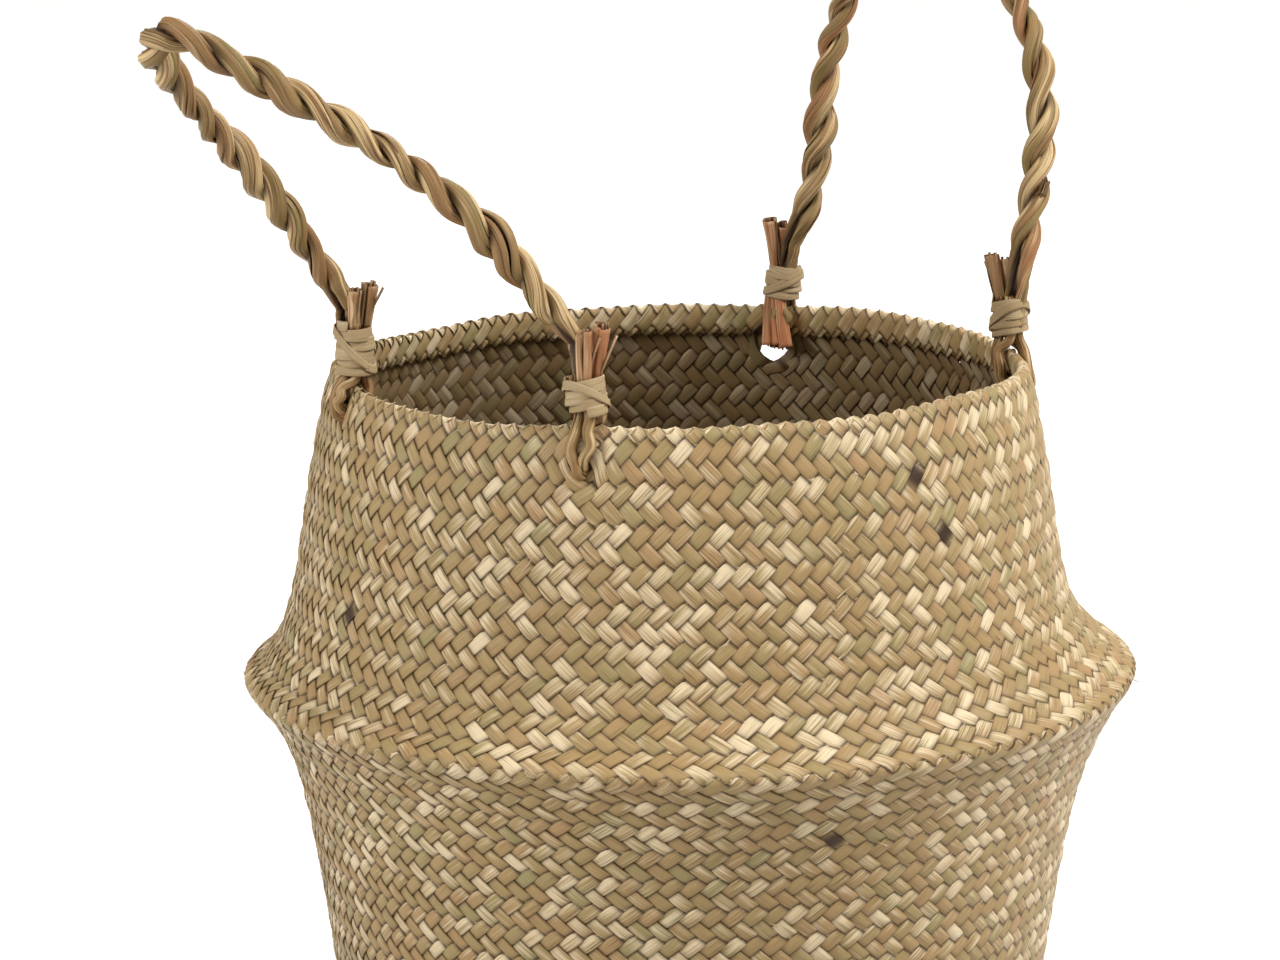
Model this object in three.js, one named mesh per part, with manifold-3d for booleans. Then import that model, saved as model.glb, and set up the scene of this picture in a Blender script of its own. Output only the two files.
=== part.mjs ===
// Seagrass belly basket with two twisted rope handles.
// Millimetres, +Z up. The origin is the centre of the base's underside, and the
// handles stand on the -X (near) and +X (far) sides.
//
// The body is one continuous diagonal weave on the real basket. Here it is cut
// into rings that nest face to face, each with its own shape: flat base, lower
// wall, belly swell and shoulder with the ridge between them, upper wall, folded
// rim and inner hem.

import * as THREE from 'three';
import { mergeVertices } from 'three/addons/utils/BufferGeometryUtils.js';
import Module from 'manifold-3d';

const wasm = await Module();
wasm.setup();

// ---------------------------------------------------------------- sizes
const rimHeight = 260;
const rimRadius = 141;
const ridgeHeight = 134;
const ridgeRadius = 180;
const footRadius = 144.5; // where the lower wall's line meets the floor
const lowerWallTopRadius = 164.5; // the lower wall's line at the ridge's height
const neckRadius = 158; // the upper wall's line at the ridge's height
const lowerFlare = 22; // how slowly the lower wall swells into the ridge
const upperFlare = 14;
const upperBow = 1.9; // power of the upper wall's inward curve
const cornerRadius = 12; // turned-up edge of the base
const wall = 4; // two crossing strips
const fit = 0.3; // gap between pieces that touch

const rimFoldHeight = 4;
const hemDepth = 11; // how far the hem reaches down inside, from the rim
const hemThickness = 2.4;

const lowerWallSplit = 108; // where the belly begins to swell
const upperWallSplit = 160; // where the upper wall begins

// A handle's two plies, and the same plies where they are laced and lashed.
// `straight` is the share of the rope at each end where the plies run side by
// side before they twist.
const ply = { radius: 2.8, turns: 10, straight: 0.035 };
const strand = { radius: 2.4, gap: 0.7 };
const pressed = 0.35; // half the gap between neighbours that lie side by side
const plyOffset = ply.radius + pressed / 2; // ply's centre from the rope's centre line
const bundle = strand.radius + pressed; // half the pitch of the four strands in a lashing
const legSide = strand.radius + 2 * pressed; // a leg's centre beside the middle of its hole

const lashing = { above: 7.5, height: 19, thickness: 1.8 };
const stubAbove = 1.2; // strand ends above the lashing
const hingeAbove = ply.radius + 0.4; // hinge axis above those ends
const ropeShift = bundle + 1.45; // rope's centre beside the bundle's centre
const tail = { length: 16, lean: 0.53 };

// The hole holds two strands, one a pitch above the other. The upper one starts
// to bend through the wall this far below the hem.
const hole = { belowHem: 0.95, pitch: 2 * strand.radius + 0.8, clearance: 0.7, headroom: 1.5 };
const holeWidth = 2 * (legSide + strand.radius - hole.clearance);
const anchorInset = 3.4; // lashing's centre inside the rim's outer edge

const segments = 40; // facets round the body
const laceSteps = 28;
const anchorRadius = rimRadius - anchorInset;
const lashingBottom = rimHeight + lashing.above;
const lashingTop = lashingBottom + lashing.height;
const hingeHeight = lashingTop + stubAbove + hingeAbove;

// Each handle: the direction that it faces and half the angle between its two
// anchors, in degrees, and its rope's route from hinge to hinge. The route's
// points are [outwards from the hinge, across as a share of the anchors' half
// distance, up from the hinge].
const handles = {
  near: {
    facing: 180,
    halfSpan: 26.5,
    route: [
      [15.5, -1.075, 20], [33, -1.075, 41], [57, -1.06, 65], [81, -0.99, 84.5],
      [102, -0.9, 102], [115.5, -0.75, 114], [118.5, -0.62, 118], [114.5, -0.51, 116.5],
      [104, -0.39, 108.5], [84, -0.15, 95], [60, 0.21, 75], [38, 0.54, 52],
      [22, 0.73, 31], [10, 0.85, 13.5],
    ],
  },
  far: {
    facing: -7.6,
    halfSpan: 29.8,
    route: [
      [4.5, -1.05, 15], [10, -1.03, 31], [16, -1, 51], [19.5, -0.97, 67], [22.7, -0.85, 91],
      [24, -0.68, 110], [24.5, -0.44, 134], [24.5, -0.18, 155], [24.5, 0.05, 162.5],
      [23.5, 0.27, 154], [20, 0.5, 132], [14.5, 0.68, 104], [12, 0.77, 83],
      [9.6, 0.8, 61.5], [7.6, 0.81, 40], [4.4, 0.85, 18],
    ],
  },
};

const straw = new THREE.MeshStandardMaterial({ color: 0xb59c6c, roughness: 0.75 });
const shadedStraw = new THREE.MeshStandardMaterial({ color: 0xa08556, roughness: 0.8 });
const ropeStraw = new THREE.MeshStandardMaterial({ color: 0xa88a62, roughness: 0.7 });
const paleStraw = new THREE.MeshStandardMaterial({ color: 0xcbb489, roughness: 0.65 });

const basket = new THREE.Group();

function addPiece(name, geometry, material) {
  const mesh = new THREE.Mesh(geometry, material);
  mesh.name = name;
  basket.add(mesh);
}

// ---------------------------------------------------------------- solids
function toManifold(geometry) {
  const bare = geometry.clone();
  bare.deleteAttribute('normal');
  bare.deleteAttribute('uv');
  const merged = mergeVertices(bare, 1e-4);
  return new wasm.Manifold(new wasm.Mesh({
    numProp: 3,
    vertProperties: new Float32Array(merged.attributes.position.array),
    triVerts: new Uint32Array(merged.index.array),
  }));
}

function toGeometry(solid) {
  const mesh = solid.getMesh();
  const geometry = new THREE.BufferGeometry();
  geometry.setAttribute('position', new THREE.BufferAttribute(mesh.vertProperties, 3));
  geometry.setIndex(new THREE.BufferAttribute(mesh.triVerts, 1));
  return geometry;
}

// A ring turned about Z from a closed list of [radius, height] points, which
// runs up the outside and down the inside.
function turned(profile) {
  const points = profile.map(([radius, height]) => new THREE.Vector2(radius, height));
  const geometry = new THREE.LatheGeometry(points, segments);
  geometry.rotateX(Math.PI / 2);
  return geometry;
}

function circle(radius, sides) {
  const corners = Array.from({ length: sides }, (_, i) => {
    const angle = (2 * Math.PI * i) / sides;
    return new THREE.Vector2(radius * Math.cos(angle), radius * Math.sin(angle));
  });
  return new THREE.Shape(corners);
}

function tube(points, radius, steps, sides = 6) {
  return new THREE.ExtrudeGeometry(circle(radius, sides), {
    steps,
    bevelEnabled: false,
    extrudePath: new THREE.CatmullRomCurve3(points),
  });
}

// ---------------------------------------------------------------- body
// Outer radius of the wall: a straight or bowed line with a flare that swells
// to the ridge and dies away from it exponentially.
function outerRadius(height) {
  if (height <= ridgeHeight) {
    const line = THREE.MathUtils.lerp(footRadius, lowerWallTopRadius, height / ridgeHeight);
    const flare = (ridgeRadius - lowerWallTopRadius) * Math.exp((height - ridgeHeight) / lowerFlare);
    return line + flare;
  }
  const rise = (height - ridgeHeight) / (rimHeight - ridgeHeight);
  const line = rimRadius + (neckRadius - rimRadius) * (1 - rise ** upperBow);
  const flare = (ridgeRadius - neckRadius) * Math.exp((ridgeHeight - height) / upperFlare);
  return line + flare;
}

function heightsBetween(low, high, count) {
  return Array.from({ length: count }, (_, i) => low + ((high - low) * i) / (count - 1));
}

// A stretch of wall of even thickness, between the given heights.
function wallRing(heights, inset = 0, thickness = wall) {
  const outside = heights.map((z) => [outerRadius(z) - inset, z]);
  const inside = heights.map((z) => [outerRadius(z) - inset - thickness, z]).reverse();
  return turned([...outside, ...inside, outside[0]]);
}

function buildBase() {
  const radius = outerRadius(cornerRadius) - cornerRadius;
  addPiece('base_mat', turned([[0, 0], [radius, 0], [radius, wall], [0, wall]]), straw);
}

// The lower wall starts with the turned-up corner, a quarter circle outside and
// a smaller one inside.
function buildLowerWall() {
  const centre = outerRadius(cornerRadius) - cornerRadius;
  const quarter = [0, 30, 60, 90].map(THREE.MathUtils.degToRad);
  const corner = (radius) => quarter.map((angle) => [
    centre + fit + (radius - fit) * Math.sin(angle),
    cornerRadius - radius * Math.cos(angle),
  ]);
  const heights = heightsBetween(cornerRadius, lowerWallSplit - fit, 5).slice(1);
  const outside = [...corner(cornerRadius), ...heights.map((z) => [outerRadius(z), z])];
  const inside = [
    ...corner(cornerRadius - wall),
    ...heights.map((z) => [outerRadius(z) - wall, z]),
  ].reverse();
  addPiece('lower_wall', turned([...outside, ...inside, outside[0]]), straw);
}

// The belly swells below its ridge and draws in above it, with the fold between.
function buildBelly() {
  addPiece('belly_swell', wallRing(heightsBetween(lowerWallSplit, ridgeHeight, 5)), straw);
  const above = heightsBetween(ridgeHeight + fit, upperWallSplit - fit, 5);
  addPiece('belly_shoulder', wallRing(above), straw);
}

const wallTop = rimHeight - rimFoldHeight - fit;

function buildUpperWall(anchors) {
  let solid = toManifold(wallRing(heightsBetween(upperWallSplit, wallTop, 6)));
  for (const anchor of anchors) solid = solid.subtract(toManifold(laceHole(anchor)));
  addPiece('upper_wall', toGeometry(solid), straw);
}

// The fold caps the wall and the hem, with a rounded top.
function buildRimFold() {
  const outer = outerRadius(wallTop + fit);
  const inner = outer - wall - fit - hemThickness;
  const middle = (outer + inner) / 2;
  const half = (outer - inner) / 2;
  const crown = [0, 45, 90, 135, 180].map(THREE.MathUtils.degToRad).map((angle) => [
    middle + half * Math.cos(angle),
    rimHeight - rimFoldHeight / 2 + (rimFoldHeight / 2) * Math.sin(angle),
  ]);
  const bottom = wallTop + fit;
  addPiece('rim_fold', turned([[outer, bottom], ...crown, [inner, bottom], [outer, bottom]]), straw);
}

function buildInnerHem() {
  const heights = heightsBetween(rimHeight - hemDepth, wallTop, 3);
  addPiece('inner_hem', wallRing(heights, wall + fit, hemThickness), shadedStraw);
}

// ---------------------------------------------------------------- anchors
// Where one end of a rope is laced through the wall. `out` and `along` follow
// the wall; `away` and `aside` follow the lashing, which is square to the
// handle's own direction. The cut tails stand on the `aside` side of the rope.
function makeAnchor(handleName, end) {
  const { facing, halfSpan } = handles[handleName];
  const up = new THREE.Vector3(0, 0, 1);
  const azimuth = THREE.MathUtils.degToRad(facing + end * halfSpan);
  const out = new THREE.Vector3(1, 0, 0).applyAxisAngle(up, azimuth);
  const away = new THREE.Vector3(1, 0, 0).applyAxisAngle(up, THREE.MathUtils.degToRad(facing));
  return {
    name: `${handleName}_${out.y > 0 ? 'left' : 'right'}`,
    azimuth,
    out,
    along: up.clone().cross(out),
    away,
    aside: up.clone().cross(away),
    centre: out.clone().multiplyScalar(anchorRadius),
  };
}

// A point beside the wall at a height: `clear` is measured from the outer face.
function besideWall(anchor, clear, along, height) {
  const point = anchor.out.clone().multiplyScalar(outerRadius(height) + clear);
  point.addScaledVector(anchor.along, along);
  point.z = height;
  return point;
}

function inLashing(anchor, away, aside, height) {
  const point = anchor.centre.clone();
  point.addScaledVector(anchor.away, away);
  point.addScaledVector(anchor.aside, aside);
  point.z = height;
  return point;
}

const outerLeg = strand.gap + strand.radius;
const innerLeg = -(wall + fit + hemThickness + strand.gap + strand.radius);
const laceCentre = (outerLeg + innerLeg) / 2;
const laceReach = (outerLeg - innerLeg) / 2;
const laceBottom = rimHeight - hemDepth - hole.belowHem - laceReach - hole.pitch;

function laceHole(anchor) {
  const margin = strand.radius + hole.clearance;
  const low = laceBottom - margin;
  const high = laceBottom + hole.pitch + margin + hole.headroom;
  const box = new THREE.BoxGeometry(6 * wall, holeWidth, high - low);
  box.translate(outerRadius((low + high) / 2), 0, (low + high) / 2);
  box.rotateZ(anchor.azimuth);
  return box;
}

// One laced strand, from its top in the lashing down one side of the wall,
// through the hole in a U, up the other side, back through the lashing and out
// as the cut tail. `face` is +1 when it starts outside the wall.
function lacedStrand(anchor, face, bottom) {
  const leg = face > 0 ? [outerLeg, innerLeg] : [innerLeg, outerLeg];
  const turn = heightsBetween(0, Math.PI, 5).map((angle) => {
    const height = bottom + laceReach * (1 - Math.sin(angle));
    const clear = laceCentre + face * laceReach * Math.cos(angle);
    return besideWall(anchor, clear, -legSide * Math.cos(angle), height);
  });
  const ropeSide = (height) => inLashing(anchor, face * bundle, -bundle, height);
  const tailSide = (height, lean = 0) => inLashing(anchor, -face * bundle, bundle + lean, height);
  const middle = (lashingBottom + lashingTop) / 2;
  const rise = lashingTop + tail.length;
  return [
    ropeSide(lashingTop + stubAbove),
    ropeSide(middle),
    ropeSide(lashingBottom),
    besideWall(anchor, leg[0], -legSide, rimHeight + 0.5),
    besideWall(anchor, leg[0], -legSide, rimHeight - hemDepth + 4),
    ...turn,
    besideWall(anchor, leg[1], legSide, rimHeight - hemDepth + 4),
    besideWall(anchor, leg[1], legSide, rimHeight + 0.5),
    tailSide(lashingBottom),
    tailSide(middle),
    tailSide(lashingTop),
    tailSide(rise, tail.length * tail.lean),
  ];
}

function buildAnchor(anchor) {
  const outerFirst = lacedStrand(anchor, 1, laceBottom);
  const innerFirst = lacedStrand(anchor, -1, laceBottom + hole.pitch);
  addPiece(`${anchor.name}_lacing_a`, tube(outerFirst, strand.radius, laceSteps), ropeStraw);
  addPiece(`${anchor.name}_lacing_b`, tube(innerFirst, strand.radius, laceSteps), ropeStraw);
  addPiece(`${anchor.name}_lashing`, lashingSleeve(anchor), paleStraw);
}

// The wound strip that binds the four strands: a sleeve with rounded corners.
function lashingSleeve(anchor) {
  const inside = bundle + strand.radius + fit;
  const outside = inside + lashing.thickness;
  const section = roundedSquare(outside, lashing.thickness + strand.radius);
  section.holes.push(roundedSquare(inside, strand.radius));
  const sleeve = new THREE.ExtrudeGeometry(section, {
    depth: lashing.height,
    bevelEnabled: false,
    curveSegments: 3,
  });
  sleeve.rotateZ(Math.atan2(anchor.away.y, anchor.away.x));
  sleeve.translate(anchor.centre.x, anchor.centre.y, lashingBottom);
  return sleeve;
}

function roundedSquare(half, radius) {
  const flat = half - radius;
  const shape = new THREE.Shape();
  shape.moveTo(half, -flat);
  shape.lineTo(half, flat);
  shape.absarc(flat, flat, radius, 0, Math.PI / 2);
  shape.lineTo(-flat, half);
  shape.absarc(-flat, flat, radius, Math.PI / 2, Math.PI);
  shape.lineTo(-half, -flat);
  shape.absarc(-flat, -flat, radius, Math.PI, 1.5 * Math.PI);
  shape.lineTo(flat, -half);
  shape.absarc(flat, -flat, radius, 1.5 * Math.PI, 2 * Math.PI);
  return shape;
}

// ---------------------------------------------------------------- handles
// A rope's centre line starts and ends on its hinge axis, beside the tails.
function ropeLine(handle, anchors) {
  const [first, last] = anchors.map((anchor) => inLashing(anchor, 0, -ropeShift, hingeHeight));
  const { away, aside, centre } = anchors[0];
  const hinge = centre.dot(away);
  const halfDistance = Math.abs(centre.dot(aside));
  const between = handle.route.map(([outwards, across, rise]) => new THREE.Vector3()
    .addScaledVector(away, hinge + outwards)
    .addScaledVector(aside, across * halfDistance)
    .setZ(hingeHeight + rise));
  return new THREE.CatmullRomCurve3([first, ...between, last]);
}

// Two plies wind round the centre line at opposite phases. The cross axes are
// carried along the line without turning, so the plies start and end side by
// side along the hinge.
function plyPoints(line, aside, phase, count) {
  const points = [];
  const across = aside.clone();
  for (let i = 0; i <= count; i += 1) {
    const share = i / count;
    const tangent = line.getTangentAt(share);
    across.addScaledVector(tangent, -across.dot(tangent)).normalize();
    const beside = tangent.clone().cross(across);
    const twisted = THREE.MathUtils.clamp((share - ply.straight) / (1 - 2 * ply.straight), 0, 1);
    const angle = phase + 2 * Math.PI * ply.turns * twisted;
    points.push(line.getPointAt(share)
      .addScaledVector(across, plyOffset * Math.cos(angle))
      .addScaledVector(beside, plyOffset * Math.sin(angle)));
  }
  return points;
}

// A ply's end is a ball a little wider than the ply, so the two join cleanly.
function hingeEnd(centre) {
  const ball = new THREE.SphereGeometry(ply.radius + 0.1, 8, 6);
  ball.translate(centre.x, centre.y, centre.z);
  return ball;
}

function buildRope(name, handle, anchors) {
  const line = ropeLine(handle, anchors);
  const steps = 8 * ply.turns;
  [['a', 0], ['b', Math.PI]].forEach(([letter, phase]) => {
    const points = plyPoints(line, anchors[0].aside, phase, steps);
    const solid = toManifold(tube(points, ply.radius, steps))
      .add(toManifold(hingeEnd(points[0])))
      .add(toManifold(hingeEnd(points[steps])));
    addPiece(`${name}_handle_ply_${letter}`, toGeometry(solid), ropeStraw);
  });
}

// ---------------------------------------------------------------- assembly
const anchorsOf = Object.fromEntries(
  Object.keys(handles).map((name) => [name, [makeAnchor(name, -1), makeAnchor(name, 1)]]),
);
const allAnchors = Object.values(anchorsOf).flat();

buildBase();
buildLowerWall();
buildBelly();
buildUpperWall(allAnchors);
buildRimFold();
buildInnerHem();
allAnchors.forEach(buildAnchor);
for (const [name, handle] of Object.entries(handles)) buildRope(name, handle, anchorsOf[name]);

export default basket;
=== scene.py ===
# %% [markdown]
# # A seagrass belly basket with two twisted rope handles
#
# The basket is one diagonal weave of flat seagrass strips. It runs from the base up to a
# sharp ridge round the belly, leans in to the rim, folds over and ends in a hem inside.
# Two ropes, each of two plies, are laced through the wall and bound with a pale strip.
#
# Every strip is made as real geometry here, because the rounded floats and the ragged outline
# of a weave come from its shape, and the dark gaps partly do, with painted shade to deepen
# them. Lengths are in millimetres, and each mesh turns them into metres when it is made.

import bpy
import numpy as np
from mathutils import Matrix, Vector


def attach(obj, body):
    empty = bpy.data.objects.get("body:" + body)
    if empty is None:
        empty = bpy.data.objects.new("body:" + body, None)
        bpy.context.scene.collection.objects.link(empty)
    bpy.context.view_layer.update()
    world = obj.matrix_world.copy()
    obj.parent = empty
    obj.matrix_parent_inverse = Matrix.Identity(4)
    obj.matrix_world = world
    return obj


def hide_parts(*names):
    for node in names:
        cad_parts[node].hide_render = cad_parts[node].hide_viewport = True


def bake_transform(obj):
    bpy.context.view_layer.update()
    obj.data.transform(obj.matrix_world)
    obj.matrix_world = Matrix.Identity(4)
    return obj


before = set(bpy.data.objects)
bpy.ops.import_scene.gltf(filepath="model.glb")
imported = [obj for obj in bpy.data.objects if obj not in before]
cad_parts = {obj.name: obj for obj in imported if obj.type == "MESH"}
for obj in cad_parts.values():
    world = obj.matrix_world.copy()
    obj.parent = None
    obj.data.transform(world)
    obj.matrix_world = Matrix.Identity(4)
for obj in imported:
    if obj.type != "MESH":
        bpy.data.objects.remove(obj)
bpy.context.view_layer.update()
MM = 0.001

# %% [markdown]
# ## Camera
#
# A long lens from a little above shows the rim as a flat ellipse. The camera looks at the
# basket's axis below the rim, from the side where one handle leans out to the left.

# %% Camera
CAMERA = {"azimuth": -48.3, "elevation": 11.3, "distance": 1835.0, "look_height": 212.0,
          "aside": 16.0, "lens": 127.1}


def camera_axes(azimuth, elevation):
    """Right and backward directions of a camera that goes round the Z axis: backward is
    (sin a cos e, -cos a cos e, sin e), and right is level."""
    a, e = np.radians(azimuth), np.radians(elevation)
    back = np.array([np.sin(a) * np.cos(e), -np.cos(a) * np.cos(e), np.sin(e)])
    return np.array([np.cos(a), np.sin(a), 0.0]), back


camera_right, camera_back = camera_axes(CAMERA["azimuth"], CAMERA["elevation"])
camera = bpy.data.objects.new("camera", bpy.data.cameras.new("camera"))
bpy.context.scene.collection.objects.link(camera)
bpy.context.scene.camera = camera
eye = np.array([0, 0, CAMERA["look_height"]]) - CAMERA["aside"] * camera_right
eye = eye + CAMERA["distance"] * camera_back
camera.location = Vector(eye * MM)
camera.rotation_mode = "QUATERNION"
camera.rotation_quaternion = Vector(-camera_back).to_track_quat("-Z", "Y")
camera.data.sensor_width = 36.0
camera.data.lens = CAMERA["lens"]
print("camera at", np.round(eye), "mm")

# %% [markdown]
# ## The wall's outline
#
# Half of the basket's section is a line that is turned round the Z axis. Below the ridge
# it is straight, and above it bows in. At the ridge both parts flare out exponentially,
# so they meet in a sharp fold. The same line then turns over the rim and runs down inside
# as the hem, because the real strips do.

# %% Outline of the wall
RIM = {"height": 260.0, "radius": 141.0}
RIDGE = {"height": 134.0, "radius": 182.0}   # a little proud: the weave's middle is inset
LOWER = {"foot": 144.5, "top": 164.5, "flare": 22.0}
UPPER = {"neck": 158.0, "flare": 14.0, "bow": 1.9}
CORNER = 12.0          # radius of the turned-up edge of the base
INSET = 1.7            # middle of the weave inside the outer face
FOLD = 1.8             # radius of the turn over the rim
HEM = 10.5             # length of the hem inside
FLAT_EDGE = 9.0        # flat start of the line, under the base mat's rim
OUTLINE_STEP = 0.5     # distance between the outline's points


def outer_radius(z):
    """Radius of the outer face at height z: a straight line below the ridge and a bowed one
    above it, plus a flare that dies away from the ridge as exp(-distance / length)."""
    low = LOWER["foot"] + (LOWER["top"] - LOWER["foot"]) * z / RIDGE["height"]
    low = low + (RIDGE["radius"] - LOWER["top"]) * np.exp((z - RIDGE["height"]) / LOWER["flare"])
    rise = np.clip((z - RIDGE["height"]) / (RIM["height"] - RIDGE["height"]), 0, 1)
    high = RIM["radius"] + (UPPER["neck"] - RIM["radius"]) * (1 - rise ** UPPER["bow"])
    high = high + (RIDGE["radius"] - UPPER["neck"]) * np.exp((RIDGE["height"] - z) / UPPER["flare"])
    return np.where(z <= RIDGE["height"], low, high)


def arc(centre, radius, start, end, count=30):
    """Points of an arc in the (r, z) plane: centre + radius (cos t, sin t)."""
    t = np.radians(np.linspace(start, end, count))
    return np.stack([centre[0] + radius * np.cos(t), centre[1] + radius * np.sin(t)], 1)


def wall_outline():
    """The middle line of the weave as evenly spaced points: flat edge of the base, corner,
    wall, fold and hem. A short moving average rounds the ridge as a creased strip is."""
    corner_r = float(outer_radius(CORNER)) - CORNER
    turn = CORNER - INSET
    z = np.linspace(CORNER, RIM["height"] - INSET - FOLD, 1200)
    wall = np.stack([outer_radius(z) - INSET, z], 1)
    top = wall[-1]
    hem_z = np.linspace(z[-1], z[-1] - HEM, 60)
    hem = np.stack([outer_radius(hem_z) - INSET - 2 * FOLD, hem_z], 1)
    line = np.concatenate([
        [[corner_r - FLAT_EDGE, INSET]],
        arc((corner_r, CORNER), turn, -90, 0),
        wall,
        arc((top[0] - FOLD, top[1]), FOLD, 0, 180),
        hem,
    ])
    length = np.concatenate([[0], np.cumsum(np.hypot(*np.diff(line, axis=0).T))])
    even = np.arange(0, length[-1], OUTLINE_STEP)
    line = np.stack([np.interp(even, length, line[:, k]) for k in (0, 1)], 1)
    window = np.ones(5) / 5
    smooth = np.stack([np.convolve(line[:, k], window, "valid") for k in (0, 1)], 1)
    return np.concatenate([line[:2], smooth, line[-2:]])


outline = wall_outline()
outline_along = np.gradient(outline, axis=0)
outline_along /= np.hypot(*outline_along.T)[:, None]
outline_out = np.stack([outline_along[:, 1], -outline_along[:, 0]], 1)
outline_length = np.concatenate([[0], np.cumsum(np.hypot(*np.diff(outline, axis=0).T))])
print("outline", round(float(outline_length[-1])), "mm long")

# %% [markdown]
# ## Rows of the weave
#
# Two families of strips cross on the bias: one rises to the right and one to the left.
# Each float passes over two strips, and neighbours step together, so the floats of one
# family stand side by side in a level row, and the next row leans the other way. A strip
# keeps its width, so it has to lie flatter where the wall is wider. That gives the height
# of a row at each radius.

# %% Rows of the weave
STRIPS = 124           # strips in each direction, a multiple of four
RIM_ROW = 1.45         # where the rim's edge falls in the two-row repeat


def row_height(r, z):
    """Height of a row along the wall: c tan(t), where c is the share of the circumference
    for one strip and sin(t) = strip width / c."""
    share = 2 * np.pi * r / STRIPS
    width = 4.95 + 0.35 * np.clip((z - 120) / 30, 0, 1)
    sine = np.clip(width / share, 0, 0.85)
    return share * sine / np.sqrt(1 - sine ** 2)


rows = np.concatenate([[0], np.cumsum(
    np.diff(outline_length) / row_height(outline[1:, 0], outline[1:, 1]))])
rim_index = int(np.argmax(outline[:, 1]))
rows += (RIM_ROW - rows[rim_index]) % 2.0
first_row, last_row = rows[0], rows[-1]
rim_at = rows[rim_index]
print("rows", round(float(last_row - first_row), 1))

# %% [markdown]
# ## Where the ropes go through
#
# Four times the wall's strips are pushed apart into an eye, where a rope is laced
# through. The handles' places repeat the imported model's: where a handle faces, half the
# angle between its two anchors, and the rope's route as (outwards, across as a share of the
# anchors' half distance, up) from its hinge.

# %% Anchors
HANDLES = {
    "near": {"facing": 180.0, "half_span": 26.5, "route": [
        (15.5, -1.075, 20), (33, -1.075, 41), (57, -1.06, 65), (81, -0.99, 84.5),
        (102, -0.9, 102), (115.5, -0.75, 114), (118.5, -0.62, 118), (114.5, -0.51, 116.5),
        (104, -0.39, 108.5), (84, -0.15, 95), (60, 0.21, 75), (38, 0.54, 52),
        (22, 0.73, 31), (10, 0.85, 13.5)]},
    "far": {"facing": -7.6, "half_span": 29.8, "route": [
        (4.5, -1.05, 15), (10, -1.03, 31), (16, -1, 51), (19.5, -0.97, 67), (22.7, -0.85, 91),
        (24, -0.68, 110), (24.5, -0.44, 134), (24.5, -0.18, 155), (24.5, 0.05, 162.5),
        (23.5, 0.27, 154), (20, 0.5, 132), (14.5, 0.68, 104), (12, 0.77, 83),
        (9.6, 0.8, 61.5), (7.6, 0.81, 40), (4.4, 0.85, 18)]},
}
ANCHOR_RADIUS = 137.6
LASHING_HALF = 7.0     # half the width of a lashing
# Each lashing's bottom and top, its tilt, the eye's height, how far the eye is opened, and
# the cut ends' length, lean and redness. The far left eye gapes beside and below its strands:
# that gape is (along the rim, upwards). Its cut ends bend inwards.
BOUND = {
    "near_left": {"bottom": 263.5, "top": 286.5, "tilt": 0.03, "eye": 247.0, "open": 3.4,
                  "tail": 13.5, "lean": 0.10, "blush": 0.25},
    "near_right": {"bottom": 262.8, "top": 279.5, "tilt": 0.22, "eye": 241.0, "open": 4.4,
                   "tail": 17.0, "lean": 0.10, "blush": 0.85},
    "far_left": {"bottom": 265.3, "top": 281.5, "tilt": 0.14, "eye": 248.5, "open": 7.0,
                 "tail": 18.0, "lean": -0.05, "blush": 0.75, "gape": (6.0, -9.0), "inwards": 3.0},
    "far_right": {"bottom": 265.8, "top": 285.0, "tilt": 0.0, "eye": 243.0, "open": 4.2,
                  "tail": 14.0, "lean": 0.22, "blush": 0.35},
}
HINGE_HEIGHT = 290.9
BUNDLE = 2.75          # half the pitch of the four strands in a lashing
ROPE_SHIFT = 4.2       # rope's centre beside the lashing's
LACE = {"pitch": 3.6, "side": 2.2, "belly": 3.7}


def level(degrees):
    """The level direction at an angle round the Z axis."""
    return np.array([np.cos(np.radians(degrees)), np.sin(np.radians(degrees)), 0])


def make_anchor(handle, end):
    """Place and directions of one anchor. Out and along follow the wall, away and aside
    follow the handle's own direction."""
    spec = HANDLES[handle]
    degrees = spec["facing"] + end * spec["half_span"]
    out = level(degrees)
    name = f"{handle}_{'left' if out[1] > 0 else 'right'}"
    return {"name": name, **BOUND[name], "angle": np.radians(degrees), "out": out,
            "along": level(degrees + 90), "away": level(spec["facing"]),
            "aside": level(spec["facing"] + 90), "centre": ANCHOR_RADIUS * out, "handle": handle}


anchors = [make_anchor(handle, end) for handle in HANDLES for end in (-1, 1)]
gapes = [a.get("gape", (0, 0)) for a in anchors]
EYE_RISE = 3.0         # middle of an eye above its lowest strand
eyes = np.array([(a["angle"] + beside / ANCHOR_RADIUS, a["eye"] + EYE_RISE + upwards, a["open"])
                 for a, (beside, upwards) in zip(anchors, gapes)])
print("anchors", [a["name"] for a in anchors])

# %% [markdown]
# ## From the weave to the basket
#
# A point of the weave has three numbers: how far round it is, counted in strips, which
# row it is in, and how far it stands out of the middle of the wall. This cell turns them
# into a place in space. The basket is hand-made, so the rim waves a little, the lower
# half sits a little to one side, and strips part round the eyes.

# %% Place on the wall
LEAN = 4.5 * np.array([0.665, -0.747])   # the lower half's offset
EYE_REACH = 8.5        # how far from an eye the strips still bend
RIM_PRESS = 0.5        # share of the stand-out that is pressed flat on the rim's edge


def eye_push(angle, z, r):
    """How strips part round the eyes: a point at a distance d moves away from the eye by
    open exp(-(d / reach)^2). Gives the move round and the move up."""
    round_by, up_by = 0 * angle, 0 * z
    for eye_angle, eye_height, eye_open in eyes:
        aside = ((angle - eye_angle + np.pi) % (2 * np.pi) - np.pi) * r
        above = z - eye_height
        distance = np.hypot(aside, above) + 0.01
        push = eye_open * np.exp(-(distance / EYE_REACH) ** 2)
        round_by = round_by + push * aside / distance / r
        up_by = up_by + push * above / distance
    return round_by, up_by


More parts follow.
